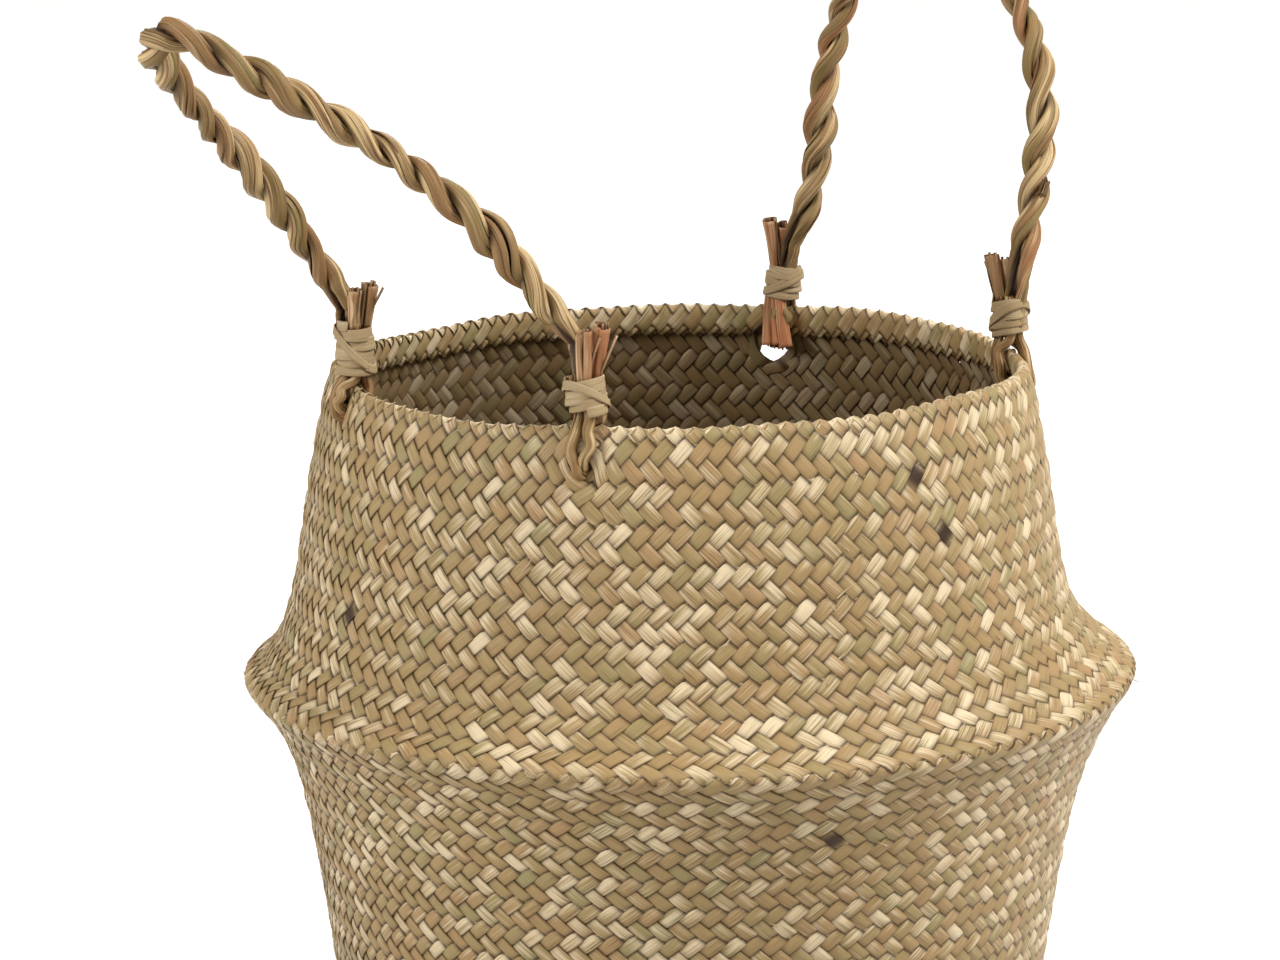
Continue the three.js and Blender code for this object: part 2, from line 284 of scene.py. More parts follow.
def wall_place(turn, row, stand, middle=None):
    """(strips round, row, stand-out) to XYZ. Round: angle = 2 pi turn / strips. The row gives
    r, z and the outward normal by interpolation in the outline, and stand-out follows the
    normal. The weave is pressed flatter on the rim's edge. A strip parts from an eye as a
    whole, so the push is worked out at its middle, which is given as (turn, row)."""
    angle = 2 * np.pi * turn / STRIPS
    r, z = (np.interp(row, rows, outline[:, k]) for k in (0, 1))
    out_r, out_z = (np.interp(row, rows, outline_out[:, k]) for k in (0, 1))
    mid_turn, mid_row = (turn, row) if middle is None else middle
    round_by, up_by = eye_push(2 * np.pi * mid_turn / STRIPS, np.interp(mid_row, rows, outline[:, 1]),
                               np.interp(mid_row, rows, outline[:, 0]))
    angle, z = angle + round_by, z + up_by
    stand = stand * (1 - RIM_PRESS * np.exp(-((row - rim_at) / 0.9) ** 2))
    share = np.clip(z / RIM["height"], 0, 1)
    wave = (2.6 + 2.0 * np.cos(angle + 0.21) + 1.1 * np.sin(3 * angle + 0.6)
            + 0.8 * np.sin(5 * angle + 2.0) + 0.4 * np.sin(11 * angle))
    belly = np.exp(-((z - RIDGE["height"] - 3) / 26) ** 2) * np.clip(np.cos(angle + 0.8), 0, 1) ** 2
    r = r + 0.9 * np.sin(2 * angle + 0.5) * np.sin(np.pi * share) + 4.0 * belly + out_r * stand
    low = 1 - np.clip((z - 105) / 60, 0, 1)
    low = low * low * (3 - 2 * low)
    z = z + wave * share ** 6 + 4.5 * belly + out_z * stand
    x = r * np.cos(angle) + LEAN[0] * low
    y = r * np.sin(angle) + LEAN[1] * low
    return np.stack([x, y, np.maximum(z, 0.05)], -1)


print("wall at the ridge", np.round(wall_place(np.array([0.0]), np.array([25.0]), np.array([0.0]))))

# %% [markdown]
# ## Mesh helper
#
# All pieces are ribbons: grids of sections along a path. One helper joins any number of
# such grids into a mesh. Each section is a closed loop, so a ribbon has a front, a back
# and two edges. Two attributes go along with every point: `fibre` holds its place across
# and along the strip, and `look` holds how pale, how warm and how dark it is.

# %% Mesh from ribbons
def ribbon_faces(strips, steps, section):
    """Quads of closed-loop ribbons whose points are stored as [strip, step, section]. Each
    quad joins a point, its neighbour in the loop, and the same two in the next step."""
    index = np.arange(strips * steps * section).reshape(strips, steps, section)
    a, b = index[:, :-1, :], index[:, 1:, :]
    sides = np.stack([a, np.roll(a, -1, 2), np.roll(b, -1, 2), b], -1).reshape(-1, 4)
    half = section // 2
    k = np.arange(half - 1)

    def cap(ring, flip):
        """Quads across one end of each ribbon, from its front half to its back half."""
        quads = np.stack([ring[:, k], ring[:, k + 1], ring[:, section - 2 - k],
                          ring[:, section - 1 - k]], -1).reshape(-1, 4)
        return quads[:, ::-1] if flip else quads
    return np.concatenate([sides, cap(index[:, 0], True), cap(index[:, -1], False)])


def make_piece(name, grids, material):
    """One mesh object from grids of (points, fibre, look), each [strip, step, section, 3]."""
    points, fibre, look, faces, count = [], [], [], [], 0
    for grid, grid_fibre, grid_look in grids:
        strips, steps, section = grid.shape[:3]
        points.append(grid.reshape(-1, 3))
        fibre.append(np.broadcast_to(grid_fibre, grid.shape).reshape(-1, 3))
        look.append(np.broadcast_to(grid_look, grid.shape).reshape(-1, 3))
        faces.append(ribbon_faces(strips, steps, section) + count)
        count += strips * steps * section
    points, faces = np.concatenate(points) * MM, np.concatenate(faces)
    mesh = bpy.data.meshes.new(name)
    mesh.vertices.add(len(points))
    mesh.vertices.foreach_set("co", points.astype(np.float32).ravel())
    mesh.loops.add(faces.size)
    mesh.loops.foreach_set("vertex_index", faces.astype(np.int32).ravel())
    mesh.polygons.add(len(faces))
    mesh.polygons.foreach_set("loop_start", np.arange(0, faces.size, 4, dtype=np.int32))
    mesh.update(calc_edges=True)
    mesh.polygons.foreach_set("use_smooth", np.ones(len(faces), bool))
    for key, values in (("fibre", fibre), ("look", look)):
        attribute = mesh.attributes.new(key, "FLOAT_VECTOR", "POINT")
        attribute.data.foreach_set("vector", np.concatenate(values).astype(np.float32).ravel())
    mesh.materials.append(material)
    piece = bpy.data.objects.new(name, mesh)
    bpy.context.scene.collection.objects.link(piece)
    print(name, len(points), "points", 2 * len(faces), "triangles")
    return piece


# %% [markdown]
# ## Straw materials
#
# Dry seagrass is a tan straw with green, pink and pale stalks among it. Fine fibres run
# along each strip. They show as streaks in the colour, in the sheen and as a slight
# relief. One node group makes this for all three finishes, which differ in their colours.
# It reads the two attributes, so the fibres follow each strip wherever it turns.

# %% Straw group
def socket(group, name, kind, way, value=None):
    item = group.interface.new_socket(name=name, socket_type=kind, in_out=way)
    if value is not None:
        item.default_value = value


def straw_group():
    """Colour = plain, greener or warmer straw, streaked by stretched noise, then paler with
    tone and darker with shade. Height and roughness come from the same streaks."""
    group = bpy.data.node_groups.new("straw fibres", "ShaderNodeTree")
    for name in ("Plain", "Green", "Warm", "Pale", "Dark"):
        socket(group, name, "NodeSocketColor", "INPUT", (0.5, 0.4, 0.2, 1))
    socket(group, "Streaks", "NodeSocketFloat", "INPUT", 0.5)
    for name, kind in (("Color", "NodeSocketColor"), ("Roughness", "NodeSocketFloat"),
                       ("Height", "NodeSocketFloat")):
        socket(group, name, kind, "OUTPUT")
    add, link = group.nodes.new, group.links.new
    ins, outs = add("NodeGroupInput"), add("NodeGroupOutput")
    fibre, look = add("ShaderNodeAttribute"), add("ShaderNodeAttribute")
    fibre.attribute_name, look.attribute_name = "fibre", "look"
    parts = add("ShaderNodeSeparateXYZ")
    link(look.outputs["Vector"], parts.inputs[0])

    def noise(stretch, scale, detail):
        mapping = add("ShaderNodeMapping")
        mapping.inputs["Scale"].default_value = stretch
        link(fibre.outputs["Vector"], mapping.inputs["Vector"])
        texture = add("ShaderNodeTexNoise")
        texture.inputs["Scale"].default_value = scale
        texture.inputs["Detail"].default_value = detail
        link(mapping.outputs[0], texture.inputs["Vector"])
        return texture.outputs["Fac"]

    def ramp(value, low, high):
        node = add("ShaderNodeMapRange")
        node.inputs["From Min"].default_value = low
        node.inputs["From Max"].default_value = high
        link(value, node.inputs["Value"])
        return node.outputs["Result"]

    def math(operation, a, b):
        node = add("ShaderNodeMath")
        node.operation = operation
        for slot_index, value in enumerate((a, b)):
            if isinstance(value, (int, float)):
                node.inputs[slot_index].default_value = value
            else:
                link(value, node.inputs[slot_index])
        return node.outputs[0]

    def mix(factor, a, b):
        node = add("ShaderNodeMix")
        node.data_type = "RGBA"
        link(factor, node.inputs["Factor"])
        link(a, node.inputs["A"])
        link(b, node.inputs["B"])
        return node.outputs["Result"]

    fine = noise((2.6, 0.05, 1.0), 1.0, 3.0)
    broad = noise((0.45, 0.03, 1.0), 1.0, 2.0)
    patch = noise((0.10, 0.06, 1.0), 1.0, 2.0)
    tone, warmth, shade = parts.outputs[0], parts.outputs[1], parts.outputs[2]
    colour = mix(ramp(warmth, 0.5, 0.0), ins.outputs["Plain"], ins.outputs["Green"])
    colour = mix(ramp(warmth, 0.5, 1.0), colour, ins.outputs["Warm"])
    colour = mix(math("MULTIPLY", ramp(patch, 0.5, 0.75), 0.5), colour, ins.outputs["Warm"])
    paleness = math("ADD", tone, math("MULTIPLY", math("SUBTRACT", fine, 0.5), ins.outputs["Streaks"]))
    paleness = math("ADD", paleness, math("MULTIPLY", math("SUBTRACT", broad, 0.5), ins.outputs["Streaks"]))
    colour = mix(ramp(paleness, 0.45, 1.1), colour, ins.outputs["Pale"])
    crease = math("MULTIPLY", ramp(fine, 0.42, 0.28), math("MULTIPLY", ins.outputs["Streaks"], 0.38))
    darkness = math("MAXIMUM", shade, crease)
    colour = mix(math("MINIMUM", darkness, 1.0), colour, ins.outputs["Dark"])
    link(colour, outs.inputs["Color"])
    link(math("ADD", ramp(fine, 0.2, 0.8), ramp(broad, 0.2, 0.8)), outs.inputs["Height"])
    rough = add("ShaderNodeMapRange")
    rough.inputs["To Min"].default_value = 0.62
    rough.inputs["To Max"].default_value = 0.40
    link(fine, rough.inputs["Value"])
    link(rough.outputs["Result"], outs.inputs["Roughness"])
    return group


straw_fibres = straw_group()


def srgb(red, green, blue):
    """Colour written in 0 to 255 to linear light: ((c + 0.055) / 1.055) ^ 2.4."""
    c = np.array([red, green, blue]) / 255
    return (*np.where(c <= 0.04045, c / 12.92, ((c + 0.055) / 1.055) ** 2.4), 1.0)


def straw_material(name, plain, green, warm, pale, dark, streaks, relief):
    material = bpy.data.materials.new(name)
    material.use_nodes = True
    nodes, links = material.node_tree.nodes, material.node_tree.links
    shader = nodes["Principled BSDF"]
    shader.inputs["Specular IOR Level"].default_value = 0.3
    straw = nodes.new("ShaderNodeGroup")
    straw.node_tree = straw_fibres
    for key, value in (("Plain", plain), ("Green", green), ("Warm", warm), ("Pale", pale), ("Dark", dark)):
        straw.inputs[key].default_value = srgb(*value)
    straw.inputs["Streaks"].default_value = streaks
    bump = nodes.new("ShaderNodeBump")
    bump.inputs["Strength"].default_value = relief
    bump.inputs["Distance"].default_value = 0.15 * MM
    links.new(straw.outputs["Color"], shader.inputs["Base Color"])
    links.new(straw.outputs["Roughness"], shader.inputs["Roughness"])
    links.new(straw.outputs["Height"], bump.inputs["Height"])
    links.new(bump.outputs["Normal"], shader.inputs["Normal"])
    return material


WOVEN = straw_material("woven seagrass", (173, 146, 100), (161, 148, 102), (179, 145, 102),
                       (234, 213, 176), (48, 24, 0), 1.5, 0.8)
ROPE = straw_material("twisted rope straw", (150, 118, 76), (146, 126, 78), (168, 118, 78),
                      (222, 194, 144), (44, 20, 2), 2.2, 1.0)
BINDING = straw_material("lashing straw", (168, 144, 106), (160, 144, 102), (174, 144, 110),
                         (210, 190, 152), (70, 46, 20), 0.9, 0.6)
FRAYED = straw_material("cut tail straw", (156, 120, 82), (150, 120, 80), (190, 124, 84),
                        (226, 190, 150), (52, 24, 6), 1.8, 1.0)
print("materials", len(bpy.data.materials))

# %% [markdown]
# ## The woven wall
#
# Each strip is followed from the base to the hem. Where it passes over, it stands out of
# the middle of the wall, and where it passes under, it stands in. Between them it dives
# under its neighbour's edge, and that place is painted darker as painted shade.
# Width, lift and colour differ from strip to strip and from float to float.

# %% Section and rise of a strip
SAMPLES = 4            # steps for each strip crossed
LIFT = 0.62            # how far a float stands out of the middle
THICK = 0.68           # half the strip's thickness at its middle
HALF_WIDTH = 0.585     # half the strip's width, in strip pitches: neighbours overlap a little
TILT = 0.36            # how far a strip's one edge stands over its neighbour
ACROSS = np.array([-1.0, -0.78, 0.78, 1.0, 0.78, -0.78])
DEPTH = np.array([0.0, 1.0, 1.0, 0.0, -1.0, -1.0])


def rise(x):
    """Stand-out of a strip that has crossed x others, from +1 over to -1 under: a cosine with
    a repeat of four, squared off by tanh(k cos) / tanh(k)."""
    sharp = 1.5
    return np.tanh(sharp * np.cos(np.pi * (x - 0.5) / 2)) / np.tanh(sharp)


def ripple(rng, x, count, periods):
    """Smooth noise along each of count strips: a sum of sines with random phases."""
    phase = rng.uniform(0, 2 * np.pi, (len(periods), count, 1))
    return sum(np.sin(2 * np.pi * x[None, :] / p + phase[k]) for k, p in enumerate(periods)) / len(periods)


# %% [markdown]
# ## One family of strips
#
# All the strips of one direction are worked out at once, as one grid of numbers: strip,
# step along it, and point of its section. Every float gets its own small random change of
# lift, width and colour. A float is painted palest at its upper end, as a painted highlight.
# Its long edges and its dives are painted dark as painted shade, and a few floats are burnt.

# %% Strips of one family
# Burnt floats and reddish ones: (degrees round, height, direction of the strip).
STAINS = [(-102.5, 235.5, 1), (-96.5, 220.5, -1), (165.0, 171.5, 1), (-119.0, 103.0, -1)]
BLUSHES = [(-121.0, 223.5, -1), (-161.0, 224.0, -1), (-158.0, 231.0, 1), (-145.0, 182.0, -1)]


def family(direction, seed):
    """All strips of one direction, as points, fibre and look [strip, step, section, 3].
    direction +1 rises to the right: turn = strip + (x + p) / 2, row = (x - p) / 2.
    direction -1 rises to the left: turn = strip - (x - p) / 2, row = (x + p) / 2.
    x counts the strips crossed and p is the place across."""
    rng = np.random.default_rng(seed)
    strip = np.arange(STRIPS)[:, None, None]
    x = np.arange(np.ceil(2 * first_row), 2 * last_row, 1 / SAMPLES)
    width = HALF_WIDTH * (1 + 0.03 * ripple(rng, x, STRIPS, (31, 9.3)))
    wander = 0.018 * ripple(rng, x, STRIPS, (23, 7.1))
    slope = TILT + 0.13 * ripple(rng, x, STRIPS, (17, 5.3))
    float_index = np.floor((x + 0.5) / 2).astype(int)
    float_index -= float_index.min()
    floats = float_index.max() + 1
    in_float = ((x + 0.5) / 2) % 1
    belly = np.sin(np.pi * in_float)[None, :]
    per_float = rng.normal(0, 1, (4, STRIPS, floats))[:, :, float_index]
    sign = direction * rise(x)[None, :]
    lift = LIFT * sign * (1 + 0.12 * per_float[0] * belly)
    p = width[:, :, None] * ACROSS + (wander + 0.012 * per_float[1])[:, :, None]
    crown = THICK * DEPTH * (1 + 0.1 * per_float[2][:, :, None])
    tilt = (slope + 0.09 * per_float[3] * belly)[:, :, None] * ACROSS
    xs = x[None, :, None]
    if direction > 0:
        turn, row = strip + (xs + p) / 2, (xs - p) / 2
    else:
        turn, row = strip - (xs - p) / 2, (xs + p) / 2
    stand = lift[:, :, None] + crown + tilt
    middle = (turn.mean(2, keepdims=True), row.mean(2, keepdims=True))
    points = wall_place(turn, row, stand, middle)

    tone = 0.41 + 0.19 * rng.normal(0, 1, (STRIPS, 1)) + 0.25 * per_float[3]
    tone = tone + 0.10 * ripple(rng, x, STRIPS, (13, 4.1))
    # Painted highlight: the upper end of each float that lies over is painted paler.
    tone = tone + (0.42 + 0.24 * per_float[2]) * (in_float - 0.5)[None, :] * (sign > 0)
    warmth = 0.5 + 0.16 * rng.normal(0, 1, (STRIPS, 1)) + 0.13 * per_float[1]
    # Painted shade: a strip is painted darker where it dives under its neighbour.
    dive = 1 - np.abs(rise(x))
    shade = np.tile(0.95 * np.clip((dive - 0.34) / 0.5, 0, 1), (STRIPS, 1))
    mid = points.mean(2)
    for spots, stain in ((STAINS, True), (BLUSHES, False)):
        for degrees, height, leaning in spots:
            if leaning != direction:
                continue
            aim = np.radians(degrees)
            r = np.hypot(mid[..., 0], mid[..., 1])
            aim_xy = np.stack([np.cos(aim) * r, np.sin(aim) * r], -1)
            near = np.hypot(np.hypot(*(mid[..., :2] - aim_xy).transpose(2, 0, 1)), mid[..., 2] - height)
            near = np.where((sign > 0.5) & (np.abs(in_float - 0.5)[None, :] < 0.26), near, 99)
            i, k = np.unravel_index(np.argmin(near), near.shape)
            same = float_index == float_index[k]
            if stain:
                shade[i, same] = 0.97 * np.clip(1.6 - 2.8 * np.abs(in_float[same] - 0.5), 0.15, 1)
            else:
                warmth[i, same] = 1.2
    across = np.broadcast_to(p * 5, points.shape[:3])
    along = np.broadcast_to(xs * 5.2, points.shape[:3])
    unlike = np.broadcast_to(strip * 7.31 + direction * 900, points.shape[:3])
    fibre = np.stack([across, along, unlike], -1)
    # Painted shade: both long edges are painted dark as the shade in the gaps between strips, and the inner
    # faces are painted darker as the shade inside the basket.
    painted_shade = 0.56 * (DEPTH < 0) + 1.00 * (ACROSS < -0.9) + 0.70 * (ACROSS > 0.9)
    look = np.stack(np.broadcast_arrays(tone[:, :, None], warmth[:, :, None],
                                        np.maximum(shade[:, :, None], painted_shade)), -1)
    return points, fibre, look


# %% [markdown]
# ## The wall's pieces
#
# The two families fit into each other, so together they are the whole wall. They stand
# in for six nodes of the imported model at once, from the lower wall to the hem.

# %% The wall's pieces
WALL_NODES = ["lower_wall", "belly_swell", "belly_shoulder", "upper_wall", "rim_fold", "inner_hem"]
BUNDLES = 4            # each family is kept in four pieces, to keep each mesh light


def build_wall():
    for word, direction, seed in (("rising", 1, 11), ("falling", -1, 12)):
        points, fibre, look = family(direction, seed)
        for k in range(BUNDLES):
            part = slice(k * STRIPS // BUNDLES, (k + 1) * STRIPS // BUNDLES)
            piece = make_piece(f"weave_{word}_{k + 1}", [(points[part], fibre[part], look[part])],
                               WOVEN)
            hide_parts(*WALL_NODES)
            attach(piece, "basket")


build_wall()

# %% [markdown]
# ## The base
#
# The base is a square mat of the same strips, two over and two under. The strips run
# straight across it, and each one ends at the circle where the wall begins. It is a grid
# of straight ribbons whose lengths are the circle's chords.

# %% Base mat
def base_family(direction, seed, pitch=5.3, radius=131.0):
    """Straight strips across the disc. Strip n lies at n pitch and is as long as its chord,
    2 sqrt(radius^2 - (n pitch)^2). Its lift is the cosine of the crossings, shifted by one
    for each strip, which draws the twill's diagonal."""
    rng = np.random.default_rng(seed)
    count = int(radius / pitch)
    strip = np.arange(-count, count + 1)
    offset = strip[:, None] * pitch
    chord = np.sqrt(radius ** 2 - offset ** 2)
    steps = 3 * 2 * count
    share = np.linspace(-1, 1, steps)[None, :]
    along = share * chord
    crossing = along / pitch
    phase = direction * np.cos(np.pi * (crossing - direction * strip[:, None] - 0.5) / 2)
    lift = 0.75 * np.tanh(1.5 * phase) / np.tanh(1.5)
    width = 0.475 * pitch * (1 + 0.04 * rng.normal(0, 1, (len(strip), 1)))
    across = offset[:, :, None] + width[:, :, None] * ACROSS
    height = 1.75 - lift[:, :, None] + 0.45 * DEPTH
    run = np.broadcast_to(along[:, :, None], across.shape[:1] + (steps, 6))
    across = np.broadcast_to(across, run.shape)
    flat = (run, across) if direction > 0 else (across, run)
    points = np.stack([flat[0] + LEAN[0], flat[1] + LEAN[1], np.maximum(height, 0.05)], -1)
    if direction < 0:
        points = points[:, :, ::-1]
    fibre = np.stack([across, run, 0 * run + 11.7 * strip[:, None, None] + 40 * direction], -1)
    tone = 0.40 + 0.13 * rng.normal(0, 1, (len(strip), 1, 1)) + 0 * run
    warmth = 0.5 + 0.2 * rng.normal(0, 1, (len(strip), 1, 1)) + 0 * run
    # Painted shade: each strip is painted darker where it passes from over to under.
    shade = 0.6 * np.clip(0.5 - np.abs(lift[:, :, None]), 0, 1) + 0 * run
    return points, fibre, np.stack([tone, warmth, shade], -1)


base = make_piece("base_weave", [base_family(1, 21), base_family(-1, 22)], WOVEN)
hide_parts("base_mat")
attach(base, "basket")

# %% [markdown]
# ## Curves for the ropes
#
# A ply is a bundle of flat leaves that are creased round each other. Each leaf is a
# curved ribbon on the side of the ply, and it turns slowly about the ply's centre. For
# that, every path needs a smooth curve and two directions square to it.

# %% Curves
def smooth_curve(points, spacing):
    """A curve through the points, sampled evenly: cubic Hermite pieces over the chord length,
    with each tangent the slope between its two neighbours."""
    points = np.asarray(points, float)
    t = np.concatenate([[0], np.cumsum(np.linalg.norm(np.diff(points, axis=0), axis=1))])
    slope = np.gradient(points, t, axis=0)
    fine = np.linspace(0, t[-1], max(8, int(t[-1] * 4)))
    k = np.clip(np.searchsorted(t, fine, "right") - 1, 0, len(t) - 2)
    gap = (t[k + 1] - t[k])[:, None]
    u = (fine - t[k])[:, None] / gap
    dense = ((2 * u ** 3 - 3 * u ** 2 + 1) * points[k] + (u ** 3 - 2 * u ** 2 + u) * gap * slope[k]
             + (3 * u ** 2 - 2 * u ** 3) * points[k + 1] + (u ** 3 - u ** 2) * gap * slope[k + 1])
    length = np.concatenate([[0], np.cumsum(np.linalg.norm(np.diff(dense, axis=0), axis=1))])
    even = np.linspace(0, length[-1], max(6, int(length[-1] / spacing)))
    return np.stack([np.interp(even, length, dense[:, c]) for c in range(3)], 1), even


def unit(v):
    return v / np.linalg.norm(v, axis=-1, keepdims=True)


def curve_axes(points, reference):
    """Tangent T, normal N (the reference made square to T) and side B = T x N."""
    tangent = unit(np.gradient(points, axis=0))
    reference = np.broadcast_to(reference, points.shape)
    normal = unit(reference - (reference * tangent).sum(1, keepdims=True) * tangent)
    return tangent, normal, np.cross(tangent, normal)


# %% [markdown]
# ## One leaf
#
# The leaf's section is a thin lens, bent round the ply and creased into folds. Its edges
# fall to nothing, so two leaves can lie over each other without a step.

# %% Leaves
def leaf(points, axes, angle, radius, spread, thick, tint, seed, squash=0.0):
    """A curved ribbon on a cylinder about the path. Round the section, u goes from -1 to 1 at
    angle + u spread; the leaf's front is at radius + thick and its back at radius - thick, with
    both falling to zero thickness at the edges. A squash above 0 flattens the whole round
    section by 1 + squash cos 2(angle - lay), where the lay turns slowly along the path."""
    rng = np.random.default_rng(seed)
    _, normal, side = axes
    steps = len(points)
    u = np.array([-1, -0.75, -0.35, 0.0, 0.35, 0.75, 1, 0.75, 0.35, 0.0, -0.35, -0.75])
    edge = np.sqrt(np.clip(1 - u ** 2, 0, 1))
    front = np.where(np.arange(12) < 7, 1, -1) * edge
    s = np.linspace(0, 1, steps) * steps / 9
    wobble = sum(np.sin(s * f + rng.uniform(0, 6.28)) for f in (0.7, 1.9, 3.1)) / 3
    phi = (angle + 0.12 * wobble)[:, None] + (spread * (1 + 0.1 * wobble))[:, None] * u
    fold = np.sin(u * 5 + rng.uniform(0, 6.28))
    lay = (np.arange(steps) / 24)[:, None]
    rho = (radius * (1 + 0.06 * wobble))[:, None] * (1 + squash * np.cos(2 * (phi - lay)))
    rho = rho + thick * front + 0.42 * fold * edge
    grid = (points[:, None] + rho[..., None] * (np.cos(phi)[..., None] * normal[:, None]
                                               + np.sin(phi)[..., None] * side[:, None]))
    across = np.broadcast_to(u * 2.5, phi.shape)
    along = np.broadcast_to((np.arange(steps) * 1.4)[:, None], phi.shape)
    fibre = np.stack([across, along, 0 * phi + seed * 3.7], -1)
    # Painted highlight: both edges of a leaf are painted paler.
    tone = tint[0] + 0.1 * rng.normal() + 0.08 * wobble[:, None] + 0.12 * (np.abs(u) > 0.9)
    # Painted shade: the back of a leaf and one of its edges are painted dark, and on the plies the valleys of
    # its folds too, as the shade between leaves.
    shade = tint[2] + 0.5 * (front < -0.1) + 0.5 * (u > 0.9) + 0 * phi
    shade = shade + 0.45 * np.clip(-fold - 0.5, 0, 0.5) * (front > 0.1) * (squash > 0)
    look = np.stack([tone + 0 * phi, 0 * phi + tint[1] + 0.2 * rng.normal(), shade], -1)
    return grid[None], fibre[None], look[None]


# %% [markdown]
# ## The handles
#
# Each ply winds round the rope's own line, opposite the other one. Both run straight for
# a short way before they twist, and go down into the lashing. The rope bends just above
# its lashings, where the handle swings.

# %% Handle ropes
PLY = {"radius": 3.3, "offset": 2.75, "turns": 10, "straight": 0.035}


def ply_line(handle, phase):
    """Centre of one ply: the rope's line plus offset (cos q, -sin q) along its side and normal
    axes, where q turns evenly with the length, and stays still for a short run at each end."""
    start, stop = (a for a in anchors if a["handle"] == handle)
    first, last = (a["centre"] - ROPE_SHIFT * a["aside"] + [0, 0, HINGE_HEIGHT] for a in (start, stop))
    hinge, half = start["centre"] @ start["away"], abs(start["centre"] @ start["aside"])
    route = [(hinge + outwards) * start["away"] + across * half * start["aside"]
             + [0, 0, HINGE_HEIGHT + up] for outwards, across, up in HANDLES[handle]["route"]]
    line, length = smooth_curve([first, *route, last], 1.4)
    middle = line[len(line) // 2] - (first + last) / 2
    outward = unit(np.cross(start["aside"], middle))
    axes = curve_axes(line, outward)
    share = length / length[-1]
    turned = np.clip((share - PLY["straight"]) / (1 - 2 * PLY["straight"]), 0, 1)
    sway = 0.25 * np.sin(share * 17) + 0.2 * np.sin(share * 41 + 1)
    angle = phase + 2 * np.pi * PLY["turns"] * turned + sway * np.minimum(1, 8 * np.minimum(share, 1 - share))
    loose = 1 + 0.10 * np.sin(share * 29 + 2) + 0.08 * np.sin(share * 67)
    offset = (PLY["offset"] * loose)[:, None]
    centre = line + offset * (np.cos(angle)[:, None] * axes[2] - np.sin(angle)[:, None] * axes[1])
    return centre, outward, length[-1], line


def into_lashing(centre, aside):
    """Adds a run at both ends of a ply, down into the lashing below. It draws in under the
    strip as it goes down."""
    steps = np.arange(14, 0, -1)[:, None]
    run = aside * 2.2 * np.clip((steps - 2) / 7, 0, 1) - np.array([0, 0, 1.4]) * steps
    return np.concatenate([centre[0] + run, centre, centre[-1] + run[::-1]])


def rope_ply(name, handle, phase, seed):
    centre, outward, length, line = ply_line(handle, phase)
    aside = level(HANDLES[handle]["facing"] + 90)
    centre, line = into_lashing(centre, aside), into_lashing(line, aside)
    axes = curve_axes(centre, outward)
    steps = len(centre)
    s = np.arange(steps) * 1.4
    grids = []
    rng = np.random.default_rng(seed)
    from_end = np.minimum(s, s[-1] - s)
    slim = 0.60 + 0.40 * np.clip((from_end - 14) / 18, 0, 1)
    plump = slim * (1 + 0.09 * np.sin(s / 13 + rng.uniform(0, 6.28)) + 0.05 * np.sin(s / 5.3))
    for k in range(5):
        turn = 2 * np.pi * (k / 5 + s / 105) + 0.35 * np.sin(s / 23 + rng.uniform(0, 6.28))
        radius = (PLY["radius"] - 0.5 + 0.3 * (k * 2 % 5) / 2) * plump
        tint = (0.36 + 0.30 * rng.normal(), 0.52 + 0.30 * rng.normal(), 0.0)
        grid, fibre, look = leaf(centre, axes, turn, radius, 0.78 + 0.2 * rng.uniform(), 0.45, tint,
                                 seed * 10 + k, squash=0.15)
        # Painted shade: a leaf is painted darker the closer it lies to the rope's middle, where the plies
        # meet in a groove.
        groove_shade = np.clip((4.6 - np.linalg.norm(grid - line[:, None], axis=-1)) / 2.0, 0, 0.92)
        look[..., 2] = np.maximum(look[..., 2], groove_shade)
        grids.append((grid, fibre, look))
    piece = make_piece(name, grids, ROPE)
    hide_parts(f"{handle}_handle_ply_{name[-1]}")
    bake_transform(piece)
    return length


for handle in HANDLES:
    for letter, phase in (("a", 0.0), ("b", np.pi)):
        seed = 31 + 2 * list(HANDLES).index(handle) + (letter == "b")
        rope_length = rope_ply(f"{handle}_rope_{letter}", handle, phase, seed)
    print(handle, "rope", round(float(rope_length)), "mm from lashing to lashing")

# %% [markdown]
# ## A new leaf's end
#
# A rope is longer than its leaves, so new ones are fed in. One old end shows on the far
# handle, as a short curved stub.

# %% A leaf's cut end on the far rope
def rope_stub():
    """Where a new leaf was fed into the rope, the old one's end stands out beside it."""
    line = ply_line("far", 0.0)[3]
    foot = line[24]
    aside = -anchors[2]["aside"]
    path, _ = smooth_curve([foot, foot + 4.5 * aside + [0, 0, 2], foot + 7.6 * aside + [0, 0, 8]], 1.2)
    steps = len(path)
    grids = [leaf(path, curve_axes(path, np.array([0, 0, 1.0])), np.full(steps, 0.4 + 3.1 * k),
                  np.full(steps, 1.2), 1.2, 0.35, (0.1, 0.6, 0.45), 400 + k) for k in range(2)]
    stub = make_piece("far_rope_stub", grids, ROPE)
    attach(stub, "far_handle")


rope_stub()

# %% [markdown]
# ## Laced ends and cut tails
#
# Below the hinge each ply goes down one side of the wall, through the eye, up the other
# side and out of the top of the lashing, where it is cut. The path is a smooth curve
# through a few points beside the wall and in the lashing, and the leaves follow it.

# %% Laced ends
def beside_wall(anchor, clear, along, height):
    """A point beside the wall: clear is measured from the outer face."""
    radius = float(outer_radius(np.array(height))) + clear
    return anchor["out"] * radius + anchor["along"] * along + [0, 0, height]


def in_lashing(anchor, away, aside, height):
    """A point of the lashing: it leans by its tilt along the rim as it rises."""
    middle = (anchor["bottom"] + anchor["top"]) / 2
    lean = anchor["tilt"] * (height - middle)
    return (anchor["centre"] + anchor["away"] * away + anchor["aside"] * (aside - lean)
            + np.array([0, 0, height]))


